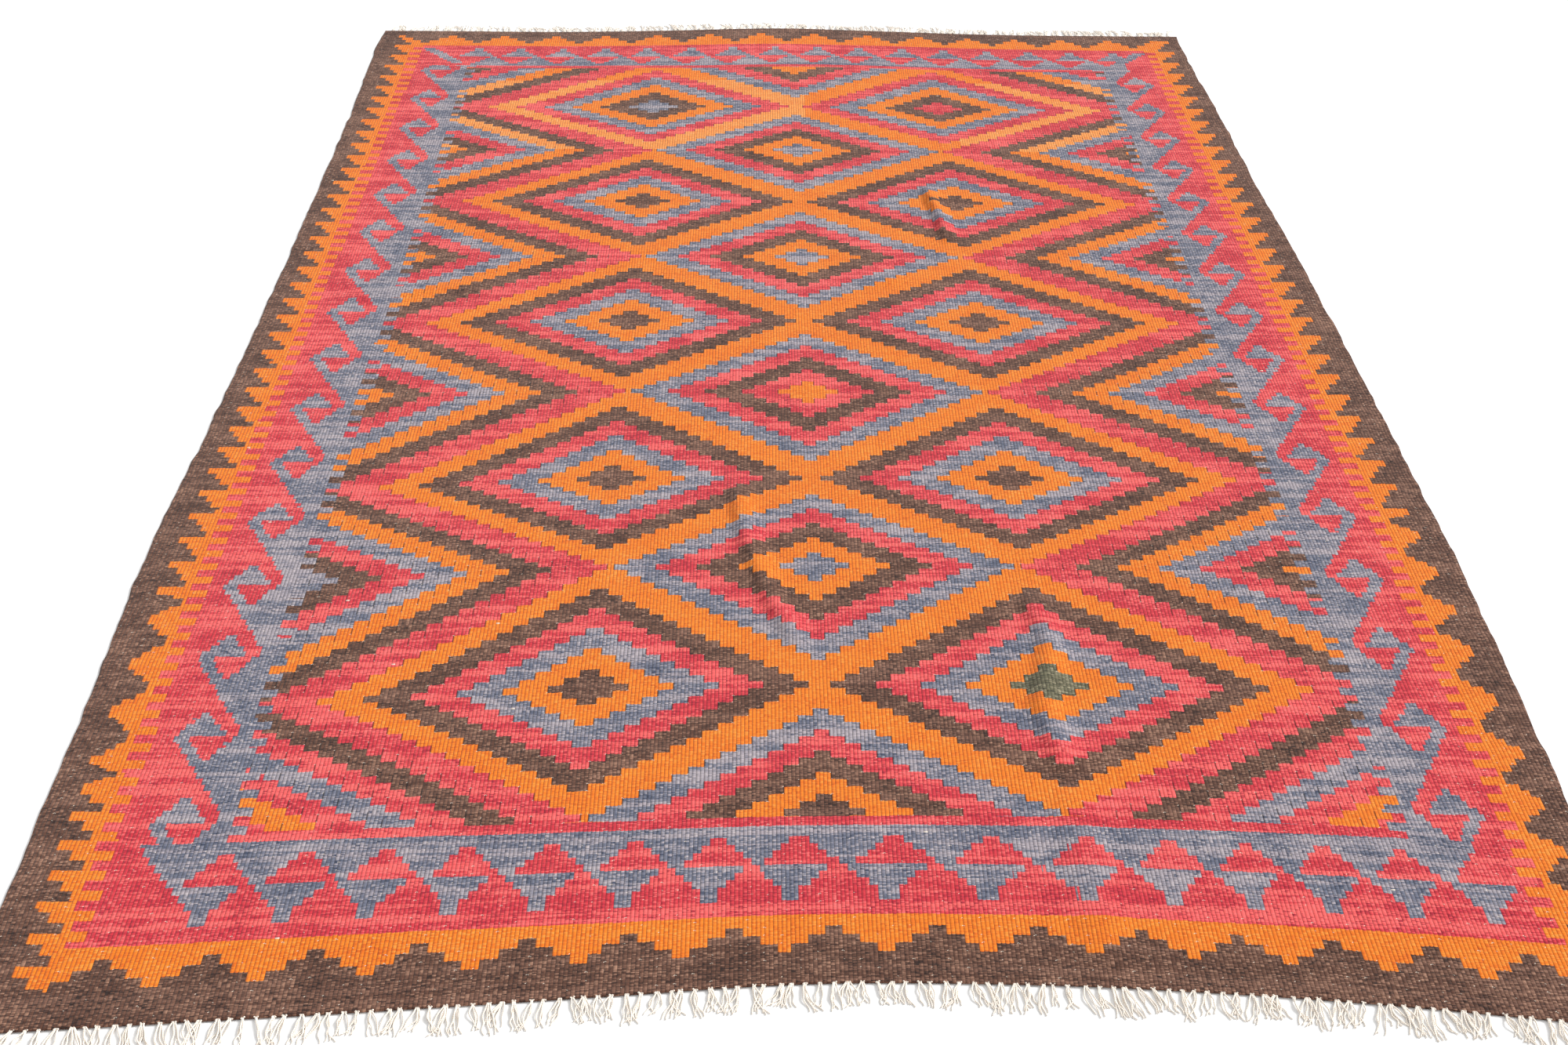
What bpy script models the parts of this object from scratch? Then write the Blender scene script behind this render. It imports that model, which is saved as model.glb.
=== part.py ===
"""A flat-woven kilim rug lying on a floor, with its warp-end fringes.

The rug is laid out in plan with its near left corner at the origin, X across the weave and Y along
the warps, and is then moved so that the middle of its footprint stands on the world origin.
Three solids make it: the woven cloth and one comb of warp ends along each short edge.
All lengths are in metres and +Z is up.
"""

import math

import bmesh
import bpy
from mathutils import Vector

# ---------------------------------------------------------------- driving dimensions

NAME = "kilim_rug"

WIDTH = 2.000
LENGTH = 3.000
CLOTH_THICKNESS = 0.003

# How far each long edge stands outside the nominal width, at distances along the rug.
SIDE_COLUMNS = ("along", "left_out", "right_out")
SIDE_WANDER = (
    (0.00, 0.000, 0.000),
    (0.30, 0.008, 0.015),
    (0.55, 0.011, 0.025),
    (0.90, 0.020, 0.034),
    (1.20, 0.010, 0.031),
    (1.50, 0.004, 0.028),
    (1.90, 0.000, 0.020),
    (2.15, 0.000, 0.010),
    (2.50, 0.000, 0.005),
    (2.90, 0.008, -0.008),
    (3.00, 0.004, -0.006),
)

# How far each short edge stands towards the far end, at distances across the rug.
END_COLUMNS = ("across", "front_in", "back_out")
END_BOW = (
    (0.00, 0.000, -0.016),
    (0.25, 0.017, -0.017),
    (0.50, 0.034, -0.014),
    (0.75, 0.053, 0.001),
    (1.00, 0.071, 0.018),
    (1.25, 0.069, 0.004),
    (1.50, 0.055, -0.012),
    (1.75, 0.031, -0.016),
    (2.00, 0.000, -0.016),
)
BOW_FADE = 6.0

# Low ridges that the cloth keeps from its folding, each with a crest line in plan.
RIDGE_COLUMNS = ("crest", "height", "half_width")
RIDGES = (
    (((0.890, 1.10), (0.910, 0.94), (0.945, 0.80), (1.000, 0.65)), 0.007, 0.034),
    (((1.350, 0.40), (1.335, 0.55), (1.362, 0.68), (1.340, 0.82)), 0.009, 0.045),
    (((1.318, 1.88), (1.306, 2.02), (1.285, 2.16)), 0.008, 0.034),
    (((0.100, 1.655), (0.270, 1.70), (0.440, 1.73)), 0.004, 0.045),
    (((1.100, 1.73), (1.250, 1.77)), 0.004, 0.040),
    (((1.360, 0.06), (1.350, 0.42)), 0.003, 0.050),
)
RIDGE_TAPER = 0.07

# Grid lines of the cloth: an even pitch, closer where the ridges run.
ACROSS_PITCH = 0.090
ALONG_PITCH = 0.100
FINE_PITCH = 0.018
FINE_ACROSS = ((0.880, 1.006), (1.275, 1.401))
FINE_ALONG = ((1.650, 1.794),)

# Fringe: a thin bar of knots along the edge, with one tooth for each bundle of warp ends.
FRINGE_GAP = 0.0003
FRINGE_THICKNESS = 0.002
FRINGE_BAR = 0.003
FRINGE_LENGTH = 0.040
FRINGE_MARGIN = 0.010
BUNDLE_PITCH = 0.0225
BUNDLE_ROOT = 0.007
BUNDLE_TIP = 0.012
BUNDLE_LEAN = 0.006
BUNDLE_UNEVEN = 0.003

MATERIALS = {
    "cloth": ((0.56, 0.20, 0.12, 1.0), 0.92),
    "fringe_front": ((0.86, 0.78, 0.68, 1.0), 0.88),
    "fringe_back": ((0.86, 0.79, 0.70, 1.0), 0.88),
}


# ---------------------------------------------------------------- plan of the cloth

def column(table, names, name):
    """Return one named column of a table."""
    place = names.index(name)
    return [row[place] for row in table]


def read_curve(stations, values, station):
    """Read a value between the stations, easing smoothly from one to the next."""
    last = len(stations) - 1
    for index in range(last):
        if station <= stations[index + 1] or index == last - 1:
            break
    start = stations[index]
    end = stations[index + 1]
    part = min(max((station - start) / (end - start), 0.0), 1.0)
    before = slope_at(stations, values, index) * (end - start)
    after = slope_at(stations, values, index + 1) * (end - start)
    return (
        values[index] * (2.0 * part**3 - 3.0 * part**2 + 1.0)
        + before * (part**3 - 2.0 * part**2 + part)
        + values[index + 1] * (3.0 * part**2 - 2.0 * part**3)
        + after * (part**3 - part**2)
    )


def slope_at(stations, values, index):
    """Return the slope through a station from its two neighbours."""
    low = max(index - 1, 0)
    high = min(index + 1, len(stations) - 1)
    return (values[high] - values[low]) / (stations[high] - stations[low])


def side_out(along, name):
    """How far a long edge stands outside the nominal width."""
    stations = column(SIDE_WANDER, SIDE_COLUMNS, "along")
    return read_curve(stations, column(SIDE_WANDER, SIDE_COLUMNS, name), along)


def end_bow(across, name):
    """How far a short edge stands towards the far end."""
    stations = column(END_BOW, END_COLUMNS, "across")
    return read_curve(stations, column(END_BOW, END_COLUMNS, name), across)


def plan_point(across, along):
    """Place a point of the squared-up cloth in the plan of the rug as it lies."""
    share = across / WIDTH
    left = -side_out(along, "left_out")
    right = WIDTH + side_out(along, "right_out")
    x = left + (right - left) * share
    from_front = max(1.0 - along / LENGTH, 0.0) ** BOW_FADE
    from_back = max(along / LENGTH, 0.0) ** BOW_FADE
    y = along + end_bow(across, "front_in") * from_front + end_bow(across, "back_out") * from_back
    return x, y


def distance_to_crest(point, crest):
    """Return the distance from a point to a crest line."""
    best = None
    for start, end in zip(crest[:-1], crest[1:]):
        first = Vector(start)
        run = Vector(end) - first
        share = (point - first).dot(run) / run.length_squared
        share = min(max(share, 0.0), 1.0)
        gap = (point - (first + run * share)).length
        if best is None or gap < best:
            best = gap
    return best


def taper_of(point, crest):
    """Fade a ridge out towards both ends of its crest line."""
    first = Vector(crest[0])
    run = Vector(crest[-1]) - first
    way = (point - first).dot(run) / run.length
    room = min(way, run.length - way)
    return min(max(room / RIDGE_TAPER, 0.0), 1.0)


def lift(x, y):
    """Height of the cloth's underside above the floor at a plan point."""
    point = Vector((x, y))
    height = 0.0
    for crest, crest_height, half_width in RIDGES:
        gap = distance_to_crest(point, crest)
        if gap < half_width:
            bell = 0.5 + 0.5 * math.cos(math.pi * gap / half_width)
            height = max(height, crest_height * bell * taper_of(point, crest))
    return height


def grid_lines(total, pitch, fine_spans):
    """Return grid positions along one side: an even pitch, closer inside the fine spans."""
    lines = [0.0]
    stops = [value for span in fine_spans for value in span] + [total]
    fine = False
    for stop in stops:
        start = lines[-1]
        step = FINE_PITCH if fine else pitch
        count = max(round((stop - start) / step), 1)
        lines.extend(start + (stop - start) * index / count for index in range(1, count + 1))
        fine = not fine
    return lines


# ---------------------------------------------------------------- solids

def make_material(name):
    """Make the plain material of one node."""
    colour, roughness = MATERIALS[name]
    material = bpy.data.materials.new(name)
    material.use_nodes = True
    shader = material.node_tree.nodes["Principled BSDF"]
    shader.inputs["Base Color"].default_value = colour
    shader.inputs["Roughness"].default_value = roughness
    shader.inputs["Metallic"].default_value = 0.0
    material.diffuse_color = colour
    return material


def add_object(name, data, collection):
    """Add a node to the collection with its own material."""
    obj = bpy.data.objects.new(name, data)
    data.materials.append(make_material(name))
    collection.objects.link(obj)
    return obj


def make_cloth(collection):
    """Weave the cloth as one bowed sheet on its ridges, thickened upwards."""
    across = grid_lines(WIDTH, ACROSS_PITCH, FINE_ACROSS)
    along = grid_lines(LENGTH, ALONG_PITCH, FINE_ALONG)
    cells_across = len(across) - 1
    cells_along = len(along) - 1
    sheet = bmesh.new()
    bmesh.ops.create_grid(sheet, x_segments=cells_across, y_segments=cells_along, size=0.5)
    for vertex in sheet.verts:
        column_index = round((vertex.co.x + 0.5) * cells_across)
        row_index = round((vertex.co.y + 0.5) * cells_along)
        x, y = plan_point(across[column_index], along[row_index])
        vertex.co = (x, y, lift(x, y))
    mesh = bpy.data.meshes.new("cloth")
    sheet.to_mesh(mesh)
    sheet.free()
    cloth = add_object("cloth", mesh, collection)
    thickness = cloth.modifiers.new("thickness", "SOLIDIFY")
    thickness.thickness = CLOTH_THICKNESS
    thickness.offset = 1.0
    return cloth


def edge_point(across, at_back, outward):
    """Place a point a distance outside one short edge of the cloth."""
    side = 1.0 if at_back else -1.0
    x, y = plan_point(across, LENGTH if at_back else 0.0)
    return x, y + side * outward


def comb_outline(at_back):
    """Work out the comb's outline: its inner edge, then tooth by tooth back along the outside."""
    room = WIDTH - 2.0 * FRINGE_MARGIN
    count = round(room / BUNDLE_PITCH)
    pitch = room / count
    bar_edge = FRINGE_GAP + FRINGE_BAR
    weave_lines = grid_lines(WIDTH, ACROSS_PITCH, FINE_ACROSS)
    outline = [edge_point(FRINGE_MARGIN, at_back, FRINGE_GAP)]
    for across in weave_lines:
        if FRINGE_MARGIN < across < WIDTH - FRINGE_MARGIN:
            outline.append(edge_point(across, at_back, FRINGE_GAP))
    outline.append(edge_point(WIDTH - FRINGE_MARGIN, at_back, FRINGE_GAP))
    for index in reversed(range(count)):
        middle = FRINGE_MARGIN + pitch * (index + 0.5)
        lean = BUNDLE_LEAN * math.sin(2.1 * index)
        reach = FRINGE_LENGTH - BUNDLE_UNEVEN * (1.0 + math.sin(3.7 * index))
        outline.append(edge_point(middle + BUNDLE_ROOT / 2.0, at_back, bar_edge))
        tip_x, tip_y = edge_point(middle, at_back, reach)
        outline.append((tip_x + lean + BUNDLE_TIP / 2.0, tip_y))
        outline.append((tip_x + lean - BUNDLE_TIP / 2.0, tip_y))
        outline.append(edge_point(middle - BUNDLE_ROOT / 2.0, at_back, bar_edge))
    return outline


def make_fringe(name, at_back, collection):
    """Cut one comb of warp ends from a flat outline."""
    outline = comb_outline(at_back)
    curve = bpy.data.curves.new(name, "CURVE")
    curve.dimensions = "2D"
    curve.fill_mode = "BOTH"
    curve.extrude = FRINGE_THICKNESS / 2.0
    spline = curve.splines.new("POLY")
    spline.points.add(len(outline) - 1)
    for point, (x, y) in zip(spline.points, outline):
        point.co = (x, y, 0.0, 1.0)
    spline.use_cyclic_u = True
    return add_object(name, curve, collection)


def footprint_middle(objects):
    """Return the middle of the footprint of all the solids."""
    bpy.context.view_layer.update()
    depsgraph = bpy.context.evaluated_depsgraph_get()
    points = []
    for obj in objects:
        shape = obj.evaluated_get(depsgraph)
        mesh = shape.to_mesh()
        points.extend(vertex.co.copy() for vertex in mesh.vertices)
        shape.to_mesh_clear()
    across = [point.x for point in points]
    along = [point.y for point in points]
    return (min(across) + max(across)) / 2.0, (min(along) + max(along)) / 2.0


def main():
    """Clear the scene and build the rug with its footprint centred on the origin."""
    for obj in list(bpy.data.objects):
        bpy.data.objects.remove(obj, do_unlink=True)
    collection = bpy.data.collections.new(NAME)
    bpy.context.scene.collection.children.link(collection)
    whole = bpy.data.objects.new(NAME, None)
    collection.objects.link(whole)
    cloth = make_cloth(collection)
    fringes = [
        make_fringe("fringe_front", False, collection),
        make_fringe("fringe_back", True, collection),
    ]
    middle_x, middle_y = footprint_middle([cloth] + fringes)
    cloth.location = (-middle_x, -middle_y, 0.0)
    for fringe in fringes:
        fringe.location = (-middle_x, -middle_y, FRINGE_THICKNESS / 2.0)
    for obj in [cloth] + fringes:
        obj.parent = whole


main()
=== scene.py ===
"""A flat-woven kilim rug on a pale studio floor: its cloth, its warp-end fringes and the light.

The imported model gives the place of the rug. The cloth is squared up first, with A across the weave
and B along the warps, both in metres from the near left corner, and is then laid in plan with the
bowed edges and low ridges that it has on the floor. The mesh carries the counts of steps, rows,
hooks and teeth in its maps, and the finish reads the chart of yarns from them.
"""

import logging
import math
import random
from dataclasses import dataclass, field
from enum import Enum
from functools import cached_property

import bpy
from mathutils import Matrix, Vector, noise


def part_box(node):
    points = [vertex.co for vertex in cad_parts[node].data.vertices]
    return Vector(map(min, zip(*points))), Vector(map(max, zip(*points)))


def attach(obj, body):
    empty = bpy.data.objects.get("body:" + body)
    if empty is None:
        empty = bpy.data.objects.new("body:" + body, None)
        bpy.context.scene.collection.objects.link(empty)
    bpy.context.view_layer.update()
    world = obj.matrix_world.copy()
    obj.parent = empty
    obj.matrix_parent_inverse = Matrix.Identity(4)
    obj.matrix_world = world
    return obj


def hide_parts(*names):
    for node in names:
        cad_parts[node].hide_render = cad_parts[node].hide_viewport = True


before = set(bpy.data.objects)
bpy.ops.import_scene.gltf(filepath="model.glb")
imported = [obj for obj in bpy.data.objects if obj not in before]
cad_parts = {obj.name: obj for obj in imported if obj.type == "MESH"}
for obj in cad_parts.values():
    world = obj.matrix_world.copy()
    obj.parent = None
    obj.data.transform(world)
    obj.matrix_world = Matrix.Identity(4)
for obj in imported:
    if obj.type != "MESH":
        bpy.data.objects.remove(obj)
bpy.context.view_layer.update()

Number = float | int
Colour = tuple[float, float, float]
Point = tuple[float, float]
Table = tuple[Point, ...]

MARKS = 8.0

log = logging.getLogger("kilim_rug")


# ---------------------------------------------------------------- names


class Yarn(Enum):
    """The dyed wools, numbered as the chart writes them."""

    ORANGE = 0
    RED = 1
    BLUE = 2
    BROWN = 3
    APRICOT = 4
    MOSS = 5

    @property
    def mark(self) -> float:
        """The yarn's number as a share of the chart's eight marks."""
        return self.value / MARKS


def rings(*lists: str) -> tuple[tuple[Yarn, ...], ...]:
    """Read ring lists written as yarns' names, from the core outwards."""
    return tuple(tuple(Yarn[name.upper()] for name in names.split()) for names in lists)


class Side(Enum):
    """The two selvedges."""

    LEFT = 0
    RIGHT = 1


class End(Enum):
    """The two fringed ends."""

    NEAR = 0
    FAR = 1


# ---------------------------------------------------------------- tables


def paced(table: Table, value: float) -> float:
    """Read a table of places and counts in straight runs, going on past its ends.

    Args:
        table: pairs of a place and the count reached there, in order of place.
        value: the place to read.

    Returns:
        The count at that place.
    """
    last = len(table) - 1
    index = 0
    while index < last - 1 and value > table[index + 1][0]:
        index += 1
    (start, low), (end, high) = table[index], table[index + 1]
    return low + (high - low) * (value - start) / (end - start)


def eased(table: Table, value: float) -> float:
    """Read a table of places and sizes with a smooth curve through every row.

    Args:
        table: pairs of a place and the size there, in order of place.
        value: the place to read, held between the first and the last.

    Returns:
        The size at that place.
    """
    last = len(table) - 1
    index = 0
    while index < last - 1 and value > table[index + 1][0]:
        index += 1
    (start, low), (end, high) = table[index], table[index + 1]
    run = end - start
    part = min(max((value - start) / run, 0.0), 1.0)
    before = slope(table, index) * run
    after = slope(table, index + 1) * run
    return (
        low * (2.0 * part**3 - 3.0 * part**2 + 1.0)
        + before * (part**3 - 2.0 * part**2 + part)
        + high * (3.0 * part**2 - 2.0 * part**3)
        + after * (part**3 - part**2)
    )


def slope(table: Table, index: int) -> float:
    """Work out the slope of a smooth curve at one row of its table.

    Args:
        table: pairs of a place and the size there.
        index: the row.

    Returns:
        The slope through the two neighbouring rows.
    """
    low = table[max(index - 1, 0)]
    high = table[min(index + 1, len(table) - 1)]
    return (high[1] - low[1]) / (high[0] - low[0])


def wander(x: float, y: float, layer: float) -> float:
    """Read a soft random swing, between about -1 and 1.

    Args:
        x: place across, in waves.
        y: place along, in waves.
        layer: a number that keeps one use apart from another.

    Returns:
        The swing at that place.
    """
    return noise.noise(Vector((x, y, layer)))


# ---------------------------------------------------------------- how the rug lies


@dataclass(frozen=True)
class Ridge:
    """A low ridge that the cloth keeps from its folding, with one steep flank."""

    crest: tuple[Point, ...]
    height: float
    steep: float
    gentle: float
    taper: float = 0.07

    def gap(self, x: float, y: float) -> float:
        """Measure how far a point of the plan lies from the crest line.

        Args:
            x: place across the plan.
            y: place along the plan.

        Returns:
            The shortest distance in metres, less than zero on the steep flank.
        """
        best = math.inf
        for (x0, y0), (x1, y1) in zip(self.crest[:-1], self.crest[1:]):
            run_x = x1 - x0
            run_y = y1 - y0
            share = ((x - x0) * run_x + (y - y0) * run_y) / (run_x**2 + run_y**2)
            share = min(max(share, 0.0), 1.0)
            gap = math.hypot(x - x0 - run_x * share, y - y0 - run_y * share)
            if gap < abs(best):
                best = math.copysign(gap, (x - x0) * run_y - (y - y0) * run_x)
        return best

    def room(self, x: float, y: float) -> float:
        """Fade the ridge towards both ends of its crest.

        Args:
            x: place across the plan.
            y: place along the plan.

        Returns:
            A share from 0 outside the ends to 1 well inside them.
        """
        (x0, y0), (x1, y1) = self.crest[0], self.crest[-1]
        length = math.hypot(x1 - x0, y1 - y0)
        way = ((x - x0) * (x1 - x0) + (y - y0) * (y1 - y0)) / length
        share = min(max(min(way, length - way) / self.taper, 0.0), 1.0)
        return share * share * (3.0 - 2.0 * share)

    def lift(self, x: float, y: float) -> float:
        """Work out the ridge's height at a point of the plan.

        Args:
            x: place across the plan.
            y: place along the plan.

        Returns:
            The height in metres.
        """
        gap = self.gap(x, y)
        share = gap / self.gentle if gap > 0.0 else -gap / self.steep
        if share >= 1.0:
            return 0.0
        bell = 0.5 + 0.5 * math.cos(math.pi * share)
        return self.height * bell * self.room(x, y)


@dataclass(frozen=True)
class Lay:
    """The squared-up cloth and the way it lies in plan."""

    width: float = 2.000
    length: float = 3.000
    left_out: Table = (
        (0.00, 0.000), (0.30, 0.008), (0.55, 0.011), (0.90, 0.020), (1.20, 0.010), (1.50, 0.004),
        (1.90, 0.000), (2.15, 0.000), (2.50, 0.000), (2.90, 0.008), (3.00, 0.004),
    )
    right_out: Table = (
        (0.00, 0.000), (0.30, 0.015), (0.55, 0.025), (0.90, 0.034), (1.20, 0.031), (1.50, 0.028),
        (1.90, 0.020), (2.15, 0.010), (2.50, 0.005), (2.90, -0.008), (3.00, -0.006),
    )
    front_in: Table = (
        (0.00, 0.000), (0.25, 0.017), (0.50, 0.034), (0.75, 0.053), (1.00, 0.071), (1.25, 0.069),
        (1.50, 0.055), (1.75, 0.031), (2.00, 0.000),
    )
    back_out: Table = (
        (0.00, -0.016), (0.25, -0.017), (0.50, -0.014), (0.75, 0.001), (1.00, 0.018), (1.25, 0.004),
        (1.50, -0.012), (1.75, -0.016), (2.00, -0.016),
    )
    bow_fade: float = 6.0
    ridges: tuple[Ridge, ...] = (
        Ridge(((1.000, 0.65), (0.945, 0.80), (0.910, 0.94), (0.890, 1.10)), 0.0095, 0.022, 0.040),
        Ridge(((1.350, 0.40), (1.335, 0.55), (1.362, 0.68), (1.340, 0.82)), 0.0095, 0.028, 0.045),
        Ridge(((1.318, 1.88), (1.306, 2.02), (1.285, 2.16)), 0.0110, 0.014, 0.038),
        Ridge(((0.100, 1.655), (0.270, 1.70), (0.440, 1.73)), 0.0045, 0.040, 0.045),
        Ridge(((1.100, 1.73), (1.250, 1.77)), 0.0045, 0.035, 0.040),
        Ridge(((1.360, 0.06), (1.350, 0.42)), 0.0035, 0.045, 0.050),
    )
    cockle: float = 0.0014
    broad_waves: Point = (4.1, 3.3)
    small_waves: Point = (11.0, 8.0)
    cloth_corner: Vector = field(default_factory=lambda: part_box("cloth")[0])

    @cached_property
    def origin(self) -> Vector:
        """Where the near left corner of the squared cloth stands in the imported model."""
        widest = max(out for _, out in self.left_out)
        return Vector((self.cloth_corner.x + widest, self.cloth_corner.y, 0.0))

    def plan(self, across: float, along: float) -> Point:
        """Place a point of the squared cloth in the plan of the rug as it lies.

        Args:
            across: A in metres.
            along: B in metres.

        Returns:
            The place in plan, from the near left corner.
        """
        share = across / self.width
        left = -eased(self.left_out, along)
        right = self.width + eased(self.right_out, along)
        from_front = max(1.0 - along / self.length, 0.0) ** self.bow_fade
        from_back = max(along / self.length, 0.0) ** self.bow_fade
        bow = eased(self.front_in, across) * from_front + eased(self.back_out, across) * from_back
        return left + (right - left) * share, along + bow

    def lift(self, x: float, y: float) -> float:
        """Work out how far the underside stands off the floor at a point of the plan.

        Args:
            x: place across the plan.
            y: place along the plan.

        Returns:
            The height in metres.
        """
        height = max(ridge.lift(x, y) for ridge in self.ridges)
        broad = wander(x * self.broad_waves[0], y * self.broad_waves[1], 3.0)
        small = wander(x * self.small_waves[0], y * self.small_waves[1], 7.0)
        return height + self.cockle * max(0.5 + 0.6 * (broad + 0.5 * small), 0.0)


# ---------------------------------------------------------------- node bench


class Flow:
    """A number that varies over a surface, which adds its own nodes as it is worked on."""

    def __init__(self, bench: "Bench", socket: bpy.types.NodeSocket) -> None:
        """Wrap one output socket of a bench."""
        self.bench = bench
        self.socket = socket

    def work(self, operation: str, *others: "Flow | Number", first: bool = True) -> "Flow":
        """Add one Math node.

        Args:
            operation: the node's operation.
            others: the other terms.
            first: whether this number stands before the others.

        Returns:
            The result as another number.
        """
        terms = [self, *others] if first else [*others, self]
        node = self.bench.node("ShaderNodeMath", {"operation": operation}, dict(enumerate(terms)))
        return Flow(self.bench, node.outputs[0])

    def __add__(self, other: "Flow | Number") -> "Flow":
        """Add."""
        return self.work("ADD", other)

    def __radd__(self, other: Number) -> "Flow":
        """Add to a plain number."""
        return self.work("ADD", other)

    def __sub__(self, other: "Flow | Number") -> "Flow":
        """Take away."""
        return self.work("SUBTRACT", other)

    def __rsub__(self, other: Number) -> "Flow":
        """Take away from a plain number."""
        return self.work("SUBTRACT", other, first=False)

    def __mul__(self, other: "Flow | Number") -> "Flow":
        """Multiply."""
        return self.work("MULTIPLY", other)

    def __rmul__(self, other: Number) -> "Flow":
        """Multiply a plain number."""
        return self.work("MULTIPLY", other)

    def __mod__(self, other: "Flow | Number") -> "Flow":
        """Leave what is over after whole lots, never below nought."""
        return self.work("FLOORED_MODULO", other)

    def __lt__(self, other: "Flow | Number") -> "Flow":
        """Give 1 where this is less, and 0 elsewhere."""
        return self.work("LESS_THAN", other)

    def __gt__(self, other: "Flow | Number") -> "Flow":
        """Give 1 where this is more, and 0 elsewhere."""
        return self.work("GREATER_THAN", other)

    def __abs__(self) -> "Flow":
        """Drop the sign."""
        return self.work("ABSOLUTE")

    def whole(self) -> "Flow":
        """Round down to a whole number."""
        return self.work("FLOOR")

    def over(self) -> "Flow":
        """Keep what stands over the whole number."""
        return self.work("FRACT")

    def least(self, other: "Flow | Number") -> "Flow":
        """Keep the smaller of two."""
        return self.work("MINIMUM", other)

    def most(self, other: "Flow | Number") -> "Flow":
        """Keep the larger of two."""
        return self.work("MAXIMUM", other)

    def wave(self) -> "Flow":
        """Swing from -1 to 1, once for each whole number."""
        return (self * math.tau).work("SINE")

    def ease(self, low: float, high: float) -> "Flow":
        """Rise smoothly from 0 to 1 between two values, in either order.

        Args:
            low: where it gives 0.
            high: where it gives 1.

        Returns:
            The share from 0 to 1.
        """
        return self.bench.number(
            "ShaderNodeMapRange",
            {"interpolation_type": "SMOOTHSTEP"},
            {"Value": self, "From Min": low, "From Max": high},
        )

    def choose(self, inside: "Flow | Number", outside: "Flow | Number") -> "Flow":
        """Take one number where this mask is 1 and another where it is 0.

        Args:
            inside: the number where the mask is 1.
            outside: the number where the mask is 0.

        Returns:
            The number chosen at each point.
        """
        return self.bench.number(
            "ShaderNodeMix", {"data_type": "FLOAT"}, {0: self, 2: outside, 3: inside}
        )


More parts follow.
